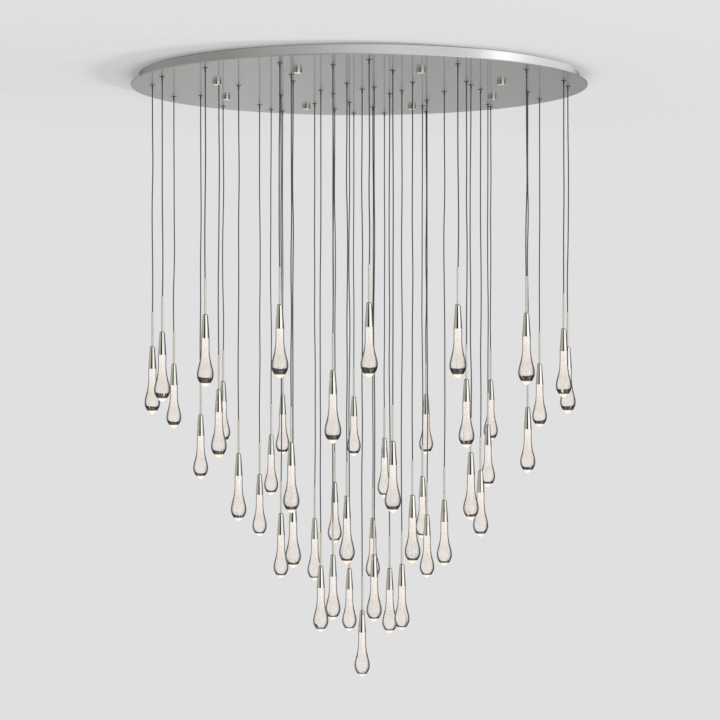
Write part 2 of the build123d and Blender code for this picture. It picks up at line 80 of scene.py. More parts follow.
# ---------------------------------------------------------------- one drop, heights from the cup's mouth
DROP_COUNT = 47
MOST_DECLARED_CORDS = 40
CORD_RADIUS = 0.0019
CORD_TOP = -0.0484
CRYSTAL_LENGTH = 0.151
CRYSTAL_NECK = (0.0130, 0.0)
CRYSTAL_WAIST = (0.0142, -0.052)
CRYSTAL_FLANK = (0.0194, -0.080)
CRYSTAL_BULB = (0.0260, -0.113)
CRYSTAL_CHIN = (0.0186, -0.1355)
CRYSTAL_TIP = (0.0, -0.151)
CRYSTAL_TIP_SLOPE = 0.3
SPIGOT_RADIUS = 0.0109
SPIGOT_LENGTH = 0.0135
CUP_LENGTH = 0.074
CUP_MOUTH_RADIUS = 0.0133
CUP_TOP_RADIUS = 0.008
CUP_SHOULDER = 0.0035
CUP_BORE_RADIUS = 0.011
CUP_BORE_DEPTH = 0.014
LAMP_RADIUS = 0.009
LAMP_FOOT = 0.018
LAMP_HEIGHT = 0.012
LENS_RADIUS = 0.006
LENS_HEIGHT = 0.0015
STEM_RADIUS = 0.0037
STEM_FOOT = 0.042
STEM_TOP = 0.187
SEEDING_RADIUS = 0.0074
SEEDING_TOP = 0.011
GLOW_HEIGHT = 0.0160  # how much of the tip is lit
GLOW_INSET = 0.0006  # the light's distance inside the glass, sideways
GLOW_LIFT = 0.0004  # and upwards
JOINT_LIGHT_INNER = 0.0118
JOINT_LIGHT_OUTER = 0.0127
JOINT_LIGHT_TOP = -0.0002
JOINT_LIGHT_FOOT = -0.0017
FIT = 0.0001  # room round what goes into a bore
CORD_POINT_SPACING = 0.22
CORD_WAVINESS = 0.0026
CORD_STRAIGHT_ABOVE_STEM = 0.02
CORD_SEED = 47

# ---------------------------------------------------------------- how finely the turned pieces are divided
CRYSTAL_SIDES = 64
CUP_SIDES = 56
LIGHT_SIDES = 40
STEM_SIDES = 24
LAMP_SIDES = 24
RIM_SIDES = 256
CAP_SIDES = 48
GRIP_SIDES = 24
EASE_HOLD = 1.3  # where a row holds the shading off a straight wall, in eases from the corner
SHARPEST_SMOOTH_EDGE = 40.0  # degrees

# ---------------------------------------------------------------- studio
CUPS_TO_RIM = (0.158, 0.176)  # heights of a direction between which its colours change over
RIM_TO_DARK = (0.44, 0.52)
CUPS_TO_PLATE = (-0.075, -0.10)
WALL_TO_FLOOR = (-0.62, -0.86)
CEILING_GLOW = 0.212
CEILING_REACH = 3.0
CEILING_HEIGHT = 0.0006
BAND_RADIUS = 3.0
BAND_FOOT = -0.40
BAND_TOP = 2.2
BAND_SIDES = 96
SOFT_LAMP_PLACE = (3.4, -3.6, -0.6)
SOFT_LAMP_SIZE = (2.6, 3.2)
SOFT_LAMP_WATTS = 60.0
SUN_STRENGTH = 3.0
SUN_WIDTH = 8.0  # degrees, as are the two below
SUN_FROM_ABOVE = 104.0
SUN_TURN = 17.0


# ================================================================ surfaces
def eased(corners, steps=4):
    """A profile with rounded corners, from (radius, height, ease) corners.

    A corner B with ease e gives way to the quadratic curve (1-t)^2 A + 2t(1-t) B + t^2 C, where A and C
    lie e away from B towards the corners before and after it. A further row EASE_HOLD times e away on
    each side keeps the curve's shading off the straight wall. An ease of zero leaves the corner sharp."""
    corners = np.array(corners, float)
    places, eases = corners[:, :2], corners[:, 2]
    t = np.linspace(0, 1, steps + 1)[:, None]
    rows = []
    for number, (place, ease) in enumerate(zip(places, eases)):
        if ease == 0:
            rows.append(place[None])
            continue
        before = places[number - 1] - place
        after = places[(number + 1) % len(places)] - place
        start = before * ease / np.linalg.norm(before)
        end = after * ease / np.linalg.norm(after)
        rows.append((place + EASE_HOLD * start)[None])
        rows.append(place + (1 - t) ** 2 * start + t**2 * end)
        rows.append((place + EASE_HOLD * end)[None])
    return np.concatenate(rows)


def flowing(points, start, end, steps):
    """A smooth line through points: on each span a cubic in the distance s, whose slopes m make the
    bending continuous, with the directions start and end given at its two ends."""
    points = np.array(points, float)
    gaps = np.linalg.norm(np.diff(points, axis=0), axis=1)
    rise = np.diff(points, axis=0) / gaps[:, None]
    count = len(points)
    inner = np.arange(1, count - 1)
    matrix = np.eye(count)
    matrix[inner, inner - 1] = gaps[1:]
    matrix[inner, inner] = 2 * (gaps[1:] + gaps[:-1])
    matrix[inner, inner + 1] = gaps[:-1]
    right = np.zeros((count, 2))
    right[0] = np.array(start) / np.linalg.norm(start)
    right[-1] = np.array(end) / np.linalg.norm(end)
    right[inner] = 3 * (gaps[1:, None] * rise[:-1] + gaps[:-1, None] * rise[1:])
    slope = np.linalg.solve(matrix, right)
    t = np.linspace(0, 1, steps, endpoint=False)[None, :, None]
    length = gaps[:, None, None]
    curve = (2 * t**3 - 3 * t**2 + 1) * points[:-1, None]
    curve = curve + (t**3 - 2 * t**2 + t) * length * slope[:-1, None]
    curve = curve + (3 * t**2 - 2 * t**3) * points[1:, None]
    curve = curve + (t**3 - t**2) * length * slope[1:, None]
    return np.concatenate([curve.reshape(-1, 2), points[-1:]])


def turned(profile, sides, loop=False):
    """A profile turned about the upright axis, as (points, faces, face corners' u and v).

    The ring point at row i and turn a is (r_i cos a, r_i sin a, h_i). The profile runs down the outside.
    An open profile begins and ends on the axis, where each end is one pole point with a fan of
    triangles. A loop closes on itself and stays off the axis. u is the turn and v the share of the rows."""
    profile = np.array(profile, float)
    rings = profile if loop else profile[1:-1]
    count = len(rings)
    turn = np.arange(sides) * 2 * math.pi / sides
    x = rings[:, :1] * np.cos(turn)
    y = rings[:, :1] * np.sin(turn)
    z = np.repeat(rings[:, 1:], sides, axis=1)
    points = np.stack([x, y, z], -1).reshape(-1, 3)
    row, col = np.meshgrid(np.arange(count if loop else count - 1), np.arange(sides), indexing="ij")
    row, col = row.ravel(), col.ravel()
    below, beside = (row + 1) % count, (col + 1) % sides
    here, under = row * sides, below * sides
    quads = np.stack([here + col, under + col, under + beside, here + beside], 1)
    v = (rings[:, 1].max() - rings[:, 1]) / np.ptp(rings[:, 1])
    u0, u1 = col / sides, (col + 1) / sides
    u = np.stack([u0, u0, u1, u1], 1)
    v = np.stack([v[row], v[below], v[below], v[row]], 1)
    faces, corners = quads.tolist(), np.stack([u, v], -1).reshape(-1, 2)
    if not loop:
        top, bottom = len(points), len(points) + 1
        points = np.concatenate([points, [[0, 0, profile[0, 1]], [0, 0, profile[-1, 1]]]])
        col = np.arange(sides)
        beside = (col + 1) % sides
        last = (count - 1) * sides
        faces += np.stack([np.full(sides, top), col, beside], 1).tolist()
        faces += np.stack([np.full(sides, bottom), last + beside, last + col], 1).tolist()
        middle = (col + 0.5) / sides
        start, end = col / sides, (col + 1) / sides
        zero, one = np.zeros(sides), np.ones(sides)
        upper = np.stack([middle, zero, start, zero, end, zero], 1)
        lower = np.stack([middle, one, end, one, start, one], 1)
        corners = np.concatenate([corners, upper.reshape(-1, 2), lower.reshape(-1, 2)])
    return points, faces, corners


def placed(shape, places):
    """One shape repeated at each (x, y, z)."""
    points, faces, corners = shape
    moved = np.concatenate([points + np.array(place) for place in places])
    step = len(points)
    many = [[corner + step * number for corner in face] for number in range(len(places)) for face in faces]
    return moved, many, np.tile(corners, (len(places), 1))


def together(*shapes):
    """Several shapes as one, each still its own closed surface."""
    points, faces, corners, step = [], [], [], 0
    for part_points, part_faces, part_corners in shapes:
        points.append(part_points)
        faces += [[corner + step for corner in face] for face in part_faces]
        corners.append(part_corners)
        step += len(part_points)
    return np.concatenate(points), faces, np.concatenate(corners)


def piece(name, shape, finish, body, nodes):
    """A named piece of the chandelier: its mesh, finish, the body it rides on and the nodes it stands for."""
    points, faces, corners = shape
    mesh = bpy.data.meshes.new(name)
    mesh.from_pydata(points.tolist(), [], faces)
    mesh.uv_layers.new(name="turn").data.foreach_set("uv", np.ravel(corners))
    mesh.polygons.foreach_set("use_smooth", np.ones(len(faces), bool))
    mesh.update()
    mesh.set_sharp_from_angle(angle=math.radians(SHARPEST_SMOOTH_EDGE))
    mesh.materials.append(finish)
    made = bpy.data.objects.new(name, mesh)
    bpy.context.scene.collection.objects.link(made)
    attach(made, body)
    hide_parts(*nodes)


# ================================================================ finishes
class Value:
    """One number socket. Sums, products and powers of it add Math nodes to its tree."""

    def __init__(self, nodes, socket):
        self.nodes = nodes
        self.socket = socket

    def math(self, operation, *others):
        made = self.nodes.node("ShaderNodeMath", {"operation": operation}, dict(enumerate((self, *others))))
        return Value(self.nodes, made.outputs[0])

    def __add__(self, other):
        return self.math("ADD", other)

    def __sub__(self, other):
        return self.math("SUBTRACT", other)

    def __rsub__(self, other):
        return self.math("MULTIPLY_ADD", -1.0, other)

    def __mul__(self, other):
        return self.math("MULTIPLY", other)

    def __truediv__(self, other):
        return self.math("DIVIDE", other)

    def __pow__(self, other):
        return self.math("POWER", other)

    __radd__ = __add__
    __rmul__ = __mul__

    def between(self, low, high):
        """0 below low, 1 above high and smooth between; the other way round where low is above high."""
        if low > high:
            return 1 - self.between(high, low)
        settings = {"interpolation_type": "SMOOTHSTEP"}
        values = {"Value": self, "From Min": low, "From Max": high}
        return Value(self.nodes, self.nodes.node("ShaderNodeMapRange", settings, values).outputs[0])

    def ramp(self, stops):
        """A colour that changes with the value, from (place, colour) stops; a bare number is a grey."""
        made = self.nodes.node("ShaderNodeValToRGB", {"stops": stops}, {0: self})
        return made.outputs[0]


class Nodes:
    """The nodes of one material or world."""

    def __init__(self, owner):
        owner.use_nodes = True
        self.tree = owner.node_tree
        self.tree.nodes.clear()

    def node(self, kind, settings=(), values=()):
        """A node of a type, with its settings made first and then its sockets' values or links."""
        made = self.tree.nodes.new(kind)
        for name, setting in dict(settings).items():
            if name == "stops":
                self.set_stops(made.color_ramp, setting)
            else:
                setattr(made, name, setting)
        for name, value in dict(values).items():
            socket = made.inputs[name]
            if isinstance(value, Value):
                self.tree.links.new(value.socket, socket)
            elif isinstance(value, bpy.types.NodeSocket):
                self.tree.links.new(value, socket)
            elif len_of(value) == 3 and len_of(socket.default_value) == 4:
                socket.default_value = (*value, 1.0)
            else:
                socket.default_value = value
        return made

    def set_stops(self, ramp, stops):
        """Puts (place, colour) stops on a colour ramp."""
        while len(ramp.elements) < len(stops):
            ramp.elements.new(0.5)
        for element, (place, colour) in zip(ramp.elements, stops):
            element.position = place
            element.color = (*colour, 1.0) if len_of(colour) else (colour, colour, colour, 1.0)

    def place(self, kind="Object"):
        """Coordinates as a vector: the piece's own in metres, or those of another kind."""
        return self.node("ShaderNodeTexCoord").outputs[kind]

    def numbers(self, vector):
        """A vector's three numbers."""
        split = self.node("ShaderNodeSeparateXYZ", values={0: vector})
        return [Value(self, out) for out in split.outputs]

    def along(self):
        """How far down a turned piece the point lies, 0 at its top and 1 at its foot."""
        return self.numbers(self.place("UV"))[1]

    def facing(self):
        """0 where the surface faces the ray that meets it, and 1 where the ray grazes it."""
        return Value(self, self.node("ShaderNodeLayerWeight", values={0: 0.5}).outputs["Facing"])

    def noise(self, vector, scale, detail=2.0, stretch=None, rough=0.5):
        """A noise value about 0.5, its coordinates stretched first if asked."""
        if stretch is not None:
            settings = {"operation": "MULTIPLY"}
            vector = self.node("ShaderNodeVectorMath", settings, {0: vector, 1: stretch}).outputs[0]
        values = {"Vector": vector, "Scale": scale, "Detail": detail, "Roughness": rough}
        return Value(self, self.node("ShaderNodeTexNoise", values=values).outputs[0])

    def cells(self, vector, scale):
        """The distance to the nearest of scattered points, in cell widths."""
        values = {"Vector": vector, "Scale": scale}
        return Value(self, self.node("ShaderNodeTexVoronoi", values=values).outputs[0])

    def mixed(self, factor, first, second):
        """The first shader where the factor is 0 and the second where it is 1."""
        return self.node("ShaderNodeMixShader", values={0: factor, 1: first.outputs[0], 2: second.outputs[0]})

    def blend(self, mask, low, high):
        """A colour that is low where the mask is 0 and high where it is 1."""
        made = self.node("ShaderNodeMix", {"data_type": "RGBA"}, {0: mask, 6: low, 7: high})
        return made.outputs[2]

    def bump(self, height, distance, strength=1.0):
        """A surface relief from a height value."""
        values = {"Height": height, "Distance": distance, "Strength": strength}
        return self.node("ShaderNodeBump", values=values).outputs[0]

    def principled(self, **values):
        """The usual shader; a socket's name is written with underlines for its blanks."""
        named = {name.replace("_", " "): value for name, value in values.items()}
        return self.node("ShaderNodeBsdfPrincipled", values=named)

    def finish(self, shader, kind="ShaderNodeOutputMaterial"):
        """Links a shader to the output."""
        self.node(kind, values={0: shader.outputs[0]})


def len_of(value):
    """How many numbers a value holds, or 0 for a single number."""
    return len(value) if hasattr(value, "__len__") else 0


def material(name):
    """An empty material and its nodes."""
    made = bpy.data.materials.new(name)
    return made, Nodes(made)


def plate_steel():
    """The face plate: polished stainless sheet, a half mirror with faint polishing haze, and a painted
    highlight in a lighter colour along its outer edge.
    """
    made, nodes = material("plate_steel")
    vector = nodes.place()
    x, y = nodes.numbers(vector)[:2]
    radius = (x * x + y * y) ** 0.5
    haze = nodes.noise(vector, 5.0, 3.0)
    grain = nodes.noise(vector, 900.0, 2.0, stretch=(0.05, 1.0, 1.0))
    # painted highlight: a lighter colour over the last 1.5 mm of the plate's radius, for the bright line
    # along its edge
    painted_edge_shading = radius.between(PLATE_RADIUS - 0.0015, PLATE_RADIUS - 0.0002)
    colour = nodes.blend(haze, (0.50, 0.485, 0.475), (0.55, 0.534, 0.523))
    colour = nodes.blend(painted_edge_shading, colour, (0.74, 0.74, 0.735))
    nodes.finish(nodes.principled(
        Base_Color=colour,
        Metallic=1.0,
        Roughness=0.44 + haze * 0.08 + grain * 0.05,
        Coat_Weight=0.32,
        Coat_Roughness=0.05,
        Normal=nodes.bump(grain, 0.00002),
    ))
    return made


def rim_steel():
    """The rim: brushed stainless strip, its grain running round it, rolled with a slight lean upwards, with
    painted shade in a darker colour along its top edge where it meets the ceiling.
    """
    made, nodes = material("rim_steel")
    vector = nodes.place()
    z = nodes.numbers(vector)[2]
    lines = nodes.noise(vector, 2400.0, 2.0, stretch=(0.12, 0.12, 1.0))
    haze = nodes.noise(vector, 7.0, 2.0)
    # painted shade: a darker colour over the top 2 mm of the rim, where it meets the ceiling
    painted_edge_shading = z.between(-0.0022, -0.0006)
    colour = nodes.blend(lines, (0.765, 0.76, 0.75), (0.79, 0.785, 0.775))
    colour = nodes.blend(painted_edge_shading, colour, (0.50, 0.50, 0.49))
    nodes.finish(nodes.principled(
        Base_Color=colour,
        Metallic=1.0,
        Roughness=0.19 + lines * 0.04 + haze * 0.04,
        Normal=nodes.bump(lines * 0.000003 - z * 0.07, 1.0),
    ))
    return made


def nickel(name, colour_low, colour_high, roughness):
    """Polished nickel: near mirror, with a slight unevenness and duller edges at its mouth and top."""
    made, nodes = material(name)
    vector = nodes.place()
    down = nodes.along()
    haze = nodes.noise(vector, 90.0, 3.0)
    fine = nodes.noise(vector, 1500.0, 2.0)
    worn = down.between(0.985, 0.998) + down.between(0.06, 0.0)
    nodes.finish(nodes.principled(
        Base_Color=nodes.blend(haze, colour_low, colour_high),
        Metallic=1.0,
        Roughness=roughness + haze * 0.05 + worn * 0.12,
        Normal=nodes.bump(fine, 0.0000012),
    ))
    return made


def stem_metal():
    """The stems: satin champagne metal with a fine grain along them."""
    made, nodes = material("champagne_metal")
    vector = nodes.place()
    grain = nodes.noise(vector, 2200.0, 2.0, stretch=(1.0, 1.0, 0.03))
    cloud = nodes.noise(vector, 120.0, 2.0)
    nodes.finish(nodes.principled(
        Base_Color=nodes.blend(cloud, (0.74, 0.71, 0.635), (0.82, 0.79, 0.715)),
        Metallic=0.5,
        Roughness=0.42 + grain * 0.14,
        Normal=nodes.bump(grain, 0.00003),
    ))
    return made


def cord_wire():
    """The cords: dark steel wire in a clear skin, its lay showing as fine slanting strands."""
    made, nodes = material("cord_wire")
    vector = nodes.place()
    x, y, z = nodes.numbers(vector)
    strands = ((z * 2600.0 + x * 1500.0 + y * 900.0).math("SINE") + 1) * 0.5
    cloud = nodes.noise(vector, 300.0, 2.0)
    nodes.finish(nodes.principled(
        Base_Color=nodes.blend(strands * 0.6 + cloud * 0.4, (0.045, 0.045, 0.047), (0.13, 0.13, 0.135)),
        Metallic=0.55,
        Roughness=0.38 + cloud * 0.15,
        Normal=nodes.bump(strands, 0.00015),
        Coat_Weight=0.3,
        Coat_Roughness=0.12,
    ))
    return made


def clear_crystal():
    """The drops: clear lead glass, with the slightest waviness of a hand-finished surface, and a painted dark
    reflection in its colour: a dark outline round its edges and a dark band at its chin.

    Lamp light passes straight through, so that what stands behind and inside isn't in full shadow."""
    made, nodes = material("clear_crystal")
    vector = nodes.place()
    wave = nodes.noise(vector, 55.0, 1.0)
    film = nodes.noise(vector, 300.0, 2.0)
    facing = nodes.facing()
    down = nodes.along()
    # painted dark reflection: the glass's colour turns dark at its outline, where the surface turns from the
    # ray, and in a band at its chin, standing in for the dark surroundings seen in the glass
    painted_chin_band = down.between(0.885, 0.905) * 0.85
    lower = down.between(0.70, 0.88)
    painted_dark_outline = (facing + lower * 0.07).between(0.24, 0.52)
    above_tip = down.between(0.936, 0.918)
    painted_dark_rims = painted_dark_outline.math("MAXIMUM", painted_chin_band) * above_tip
    clear = nodes.blend(film, (0.965, 0.965, 0.96), (1.0, 1.0, 0.995))
    glass = nodes.principled(
        Base_Color=nodes.blend(painted_dark_rims, clear, (0.03, 0.026, 0.021)),
        Metallic=0.0,
        Roughness=film * 0.012,
        IOR=1.5,
        Transmission_Weight=1.0,
        Normal=nodes.bump(wave, 0.0006, 0.35),
    )
    through = nodes.node("ShaderNodeBsdfTransparent", values={0: (0.93, 0.93, 0.93)})
    path = nodes.node("ShaderNodeLightPath")
    nodes.finish(nodes.mixed(path.outputs["Is Shadow Ray"], glass, through))
    return made


def seeded_core():
    """The seeded heart of a drop: fine bubbles that catch the lamp's light, dense under the cup and
    thinning out into the bulb, with small dark specks between them."""
    made, nodes = material("seeded_core")
    vector = nodes.place()
    down = nodes.along()
    fine = nodes.noise(vector, 380.0, 3.0, rough=0.75)
    cloud = nodes.noise(vector, 140.0, 2.0)
    facing = nodes.facing()
    here_and_there = nodes.noise(vector, 260.0, 1.0).between(0.50, 0.66)
    specks = nodes.cells(vector, 420.0).between(0.24, 0.10) * here_and_there
    tone = down.ramp([
        (0.0, (1.0, 1.0, 0.97)),
        (0.03, (1.0, 0.98, 0.94)),
        (0.25, (1.0, 0.96, 0.92)),
        (0.5, (0.94, 0.88, 0.82)),
        (0.75, (0.83, 0.75, 0.68)),
        (1.0, (0.88, 0.83, 0.78)),
    ])
    light = nodes.blend(fine.between(0.36, 0.58), (0.66, 0.60, 0.56), (1.0, 1.0, 1.0))
    multiply = {"data_type": "RGBA", "blend_type": "MULTIPLY"}
    colour = nodes.node("ShaderNodeMix", multiply, {0: 1.0, 6: tone, 7: light}).outputs[2]
    colour = nodes.blend(specks, colour, (0.30, 0.22, 0.18))
    thin = facing.between(0.85, 0.25) * down.between(0.45, 0.75) + down.between(0.75, 0.45)
    alpha = (0.66 + cloud * 0.5 + specks * 0.4) * thin * (1 - down.between(0.45, 1.0) * 0.65)
    nodes.finish(nodes.principled(
        Base_Color=(0.05, 0.05, 0.05),
        Roughness=0.8,
        Emission_Color=colour,
        Emission_Strength=1.0,
        Alpha=alpha.math("MINIMUM", 1.0).math("MAXIMUM", 0.0),
    ))
    return made


def lamp_light():
    """The light that gathers in the tip and at the cup's mouth: warm white, orange along its upper edge."""
    made, nodes = material("lamp_light")
    vector = nodes.place()
    down = nodes.along()
    spark = nodes.cells(vector, 260.0).between(0.34, 0.12) * down.between(0.3, 0.6)
    facing = nodes.facing()
    colour = down.ramp([
        (0.0, (0.10, 0.07, 0.05)),
        (0.10, (0.34, 0.19, 0.10)),
        (0.22, (0.62, 0.38, 0.20)),
        (0.34, (1.0, 0.86, 0.66)),
        (0.5, (1.0, 0.97, 0.90)),
        (1.0, (1.0, 0.96, 0.89)),
    ])
    colour = nodes.blend(spark, colour, (1.0, 0.80, 0.55))
    colour = nodes.blend(facing.between(0.25, 0.95), colour, (0.78, 0.75, 0.69))
    nodes.finish(nodes.principled(
        Base_Color=(0.1, 0.1, 0.1),
        Roughness=0.6,
        Emission_Color=colour,
        Emission_Strength=1.05,
    ))
    return made


def zinc_steel():
    """Frame, studs, nuts and screws: zinc plate with its faint patches of tone."""
    made, nodes = material("zinc_plate")
    vector = nodes.place()
    patch = nodes.cells(vector, 70.0)
    fine = nodes.noise(vector, 700.0, 3.0)
    nodes.finish(nodes.principled(
        Base_Color=nodes.blend(patch, (0.40, 0.41, 0.42), (0.58, 0.59, 0.59)),
        Metallic=1.0,
        Roughness=0.34 + fine * 0.2,
        Normal=nodes.bump(fine, 0.00004),
    ))
    return made


def moulded(name, low, high, roughness, grain):
    """A moulded case or sleeve: even colour, fine moulded grain, slight scuffs."""
    made, nodes = material(name)
    vector = nodes.place()
    fine = nodes.noise(vector, grain, 3.0)
    scuff = nodes.noise(vector, 35.0, 4.0).between(0.58, 0.75)
    nodes.finish(nodes.principled(
        Base_Color=nodes.blend(fine * 0.7 + scuff * 0.3, low, high),
        Roughness=roughness + scuff * 0.15,
        Normal=nodes.bump(fine, 0.00006),
    ))
    return made


def ceiling_paint(shade):
    """The pale ceiling, seen only from below, with the chandelier's shadow; it fades into the background."""
    made, nodes = material("ceiling_paint")
    vector = nodes.place()
    x, y = nodes.numbers(vector)[:2]
    radius = (x * x + y * y) ** 0.5
    paint = nodes.noise(vector, 30.0, 2.0)
    tone = nodes.blend(paint, (0.49, 0.49, 0.49), (0.51, 0.51, 0.51))
    lit = nodes.node("ShaderNodeBsdfDiffuse", values={0: tone})
    glow = nodes.node("ShaderNodeEmission", values={0: (shade, shade, shade), 1: 1.0})
    both = nodes.node("ShaderNodeAddShader", values={0: lit.outputs[0], 1: glow.outputs[0]})
    clear = nodes.node("ShaderNodeBsdfTransparent")
    back = Value(nodes, nodes.node("ShaderNodeNewGeometry").outputs["Backfacing"])
    hidden = radius.between(1.5, 2.3).math("MAXIMUM", back)
    nodes.finish(nodes.mixed(hidden, both, clear))
    return made


# ================================================================ camera, world and lamps
def make_camera():
    """A level camera in front of the drops; the shift puts the horizon where the photograph has it."""
    data = bpy.data.cameras.new("camera")
    data.sensor_width = SENSOR_WIDTH
    data.lens = SENSOR_WIDTH * FOCAL_PIXELS / PICTURE
    data.shift_x = (PICTURE / 2 - MIDDLE_COLUMN) / PICTURE
    data.shift_y = (HORIZON_ROW - PICTURE / 2) / PICTURE
    camera = bpy.data.objects.new("camera", data)
    camera.location = (0, -CAMERA_DISTANCE, CAMERA_HEIGHT)
    camera.rotation_euler = (math.pi / 2, 0, 0)
    bpy.context.scene.collection.objects.link(camera)
    bpy.context.scene.camera = camera


def make_world():
    """A pale studio. What metal and glass show of it changes with the direction: the turn about the
    upright axis, 0 at the front and growing to the right, and the height."""
    world = bpy.data.worlds.new("studio")
    bpy.context.scene.world = world
    nodes = Nodes(world)
    x, y, z = nodes.numbers(nodes.place("Generated"))
    turn = x.math("ARCTAN2", y * -1.0) / (2 * math.pi) + 0.5

    def round_the_room(*pairs):
        """Colours round the room from (degrees, colour) pairs."""
        return turn.ramp([(0.5 + angle / 360, colour) for angle, colour in pairs])

    # what the cups mirror: a dark side, a khaki one and a white lamp from the right front
    khaki = (0.40, 0.385, 0.32)
    low_ring = round_the_room(
        (-180, 0.745), (-173, 0.50), (-168, 0.14), (-150, 0.12), (-138, 0.26),
        (-110, (0.60, 0.575, 0.50)), (-104, 0.24), (-96, (0.58, 0.555, 0.48)), (-40, (0.44, 0.42, 0.36)),
        (-30, 0.025), (6, 0.015), (14, 1.35), (64, 1.40), (74, 0.55), (94, 0.42),
        (104, 0.03), (158, 0.04), (170, 0.52), (180, 0.745),
    )
    # what the rim mirrors: grey at the left, with one narrow highlight at the right
    high_ring = round_the_room(
        (-180, 0.30), (-120, 0.27), (-72, 0.26), (-30, 0.50), (0, 0.74), (45, 0.66),
        (62, 0.74), (77, 1.60), (90, 1.20), (104, 1.00), (140, 1.00), (180, 1.00),
    )
    # what the plate's underside mirrors: the pale far wall, and by way of the cap nuts the cups' bands
    plate_ring = round_the_room(
        (-180, 0.78), (-176, 0.94), (-171, 0.56), (-164, 0.20), (-140, 0.12), (-110, khaki),
        (-38, khaki), (-30, 0.03), (8, 0.02), (15, 1.25), (62, 1.35), (72, 0.50), (98, 0.34),
        (108, 0.05), (160, 0.06), (168, 0.34), (172, 0.46), (176, 0.66), (180, 0.78),
    )
    shiny = nodes.blend(z.between(*CUPS_TO_RIM), low_ring, high_ring)
    shiny = nodes.blend(z.between(*RIM_TO_DARK), shiny, (0.10, 0.098, 0.09))
    shiny = nodes.blend(z.between(*CUPS_TO_PLATE), shiny, plate_ring)
    # what shows through the glass: pale all round, darker towards the floor
    away = round_the_room(
        (-180, 0.79), (-150, 0.70), (-125, 0.52), (-90, 0.62), (-40, 0.78),
        (0, 0.78), (50, 0.84), (90, 0.86), (130, 0.78), (180, 0.79),
    )
    through = nodes.blend(z.between(*WALL_TO_FLOOR), away, (0.42, 0.40, 0.38))

    path = nodes.node("ShaderNodeLightPath")
    seen = nodes.node("ShaderNodeBackground", values={0: (BACKGROUND,) * 3, 1: 1.0})
    mirrored = nodes.node("ShaderNodeBackground", values={0: shiny, 1: 1.0})
    refracted = nodes.node("ShaderNodeBackground", values={0: through, 1: 1.0})
    soft = nodes.node("ShaderNodeBackground", values={0: (0.80, 0.80, 0.80), 1: 1.0})
    shader = nodes.mixed(path.outputs["Is Glossy Ray"], soft, mirrored)
    shader = nodes.mixed(path.outputs["Is Transmission Ray"], shader, refracted)
    shader = nodes.mixed(path.outputs["Is Camera Ray"], shader, seen)
    nodes.finish(shader, "ShaderNodeOutputWorld")


def make_ceiling():
    """The ceiling just above the canopy. Only the camera sees it, and it catches the soft shadow."""
    mesh = bpy.data.meshes.new("ceiling")
    corners = np.array([(-1, -1), (-1, 1), (1, 1), (1, -1)]) * CEILING_REACH
    points = np.column_stack([corners, np.full(4, CEILING_HEIGHT)])
    mesh.from_pydata(points.tolist(), [], [(0, 1, 2, 3)])
    mesh.materials.append(ceiling_paint(CEILING_GLOW))
    ceiling = bpy.data.objects.new("ceiling", mesh)
    bpy.context.scene.collection.objects.link(ceiling)
    ceiling.visible_diffuse = False
    ceiling.visible_glossy = False
    ceiling.visible_transmission = False
    ceiling.visible_shadow = False
    return ceiling


def make_dark_band():
    """A dark band round the room above the drops, seen only through the glass. It draws the dark crescents
    low in the bulbs, thick in the upper drops and thin in the lower ones, because a bulb turns what
    it shows upside down. It is an upright cylinder with a flat lid."""
    sides = BAND_SIDES
    col = np.arange(sides)
    turn = col * 2 * math.pi / sides
    ring = np.stack([BAND_RADIUS * np.cos(turn), BAND_RADIUS * np.sin(turn)], 1)
    lower = np.column_stack([ring, np.full(sides, BAND_FOOT)])
    upper = np.column_stack([ring, np.full(sides, BAND_TOP)])
    beside = (col + 1) % sides
    walls = np.stack([col, beside, beside + sides, col + sides], 1).tolist()
    lid = list(range(sides, 2 * sides))
    mesh = bpy.data.meshes.new("dark_band")
    mesh.from_pydata(np.concatenate([lower, upper]).tolist(), [], [*walls, lid])
    made, nodes = material("dark_cloth")
    vector = nodes.place()
    fold = nodes.noise(vector, 2.2, 2.0, stretch=(1.0, 1.0, 0.4)).between(0.46, 0.66)
    cloth = nodes.blend(fold, (0.022, 0.020, 0.017), (0.14, 0.132, 0.12))
    nodes.finish(nodes.node("ShaderNodeEmission", values={0: cloth, 1: 1.0}))
    mesh.materials.append(made)
    band = bpy.data.objects.new("dark_band", mesh)
    bpy.context.scene.collection.objects.link(band)
    band.visible_camera = False
    band.visible_diffuse = False
    band.visible_glossy = False
    band.visible_shadow = False


def make_lamps(ceiling):
    """A broad soft lamp from the right front, and a low sun from the right that reaches only the ceiling
    and draws the canopy's soft shadow on it."""
    data = bpy.data.lights.new("soft_lamp", "AREA")
    data.shape = "RECTANGLE"
    data.size, data.size_y = SOFT_LAMP_SIZE
    data.energy = SOFT_LAMP_WATTS
    lamp = bpy.data.objects.new("soft_lamp", data)
    lamp.location = SOFT_LAMP_PLACE
    lamp.rotation_euler = (math.radians(90), 0, math.atan2(SOFT_LAMP_PLACE[0], -SOFT_LAMP_PLACE[1]))
    lamp.visible_glossy = False
    lamp.visible_transmission = False
    bpy.context.scene.collection.objects.link(lamp)

    data = bpy.data.lights.new("low_sun", "SUN")
    data.energy = SUN_STRENGTH
    data.angle = math.radians(SUN_WIDTH)
    sun = bpy.data.objects.new("low_sun", data)
    sun.rotation_euler = (0, math.radians(SUN_FROM_ABOVE), math.radians(SUN_TURN))
    sun.visible_glossy = False
    sun.visible_transmission = False
    bpy.context.scene.collection.objects.link(sun)
    group = bpy.data.collections.new("ceiling_only")
    group.objects.link(ceiling)
    sun.light_linking.receiver_collection = group


# ================================================================ the drops
def drop_places():
    """Each drop's number, node name, x, y and the height of its cup's mouth, from its CAD node."""
    found = []
    for number in range(1, DROP_COUNT + 1):
        node = f"pendant_{number:02d}"
        low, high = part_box(node)
        x, y = (low[0] + high[0]) / 2, (low[1] + high[1]) / 2
        found.append((number, node, x, y, low[2] + CRYSTAL_LENGTH))
    return found


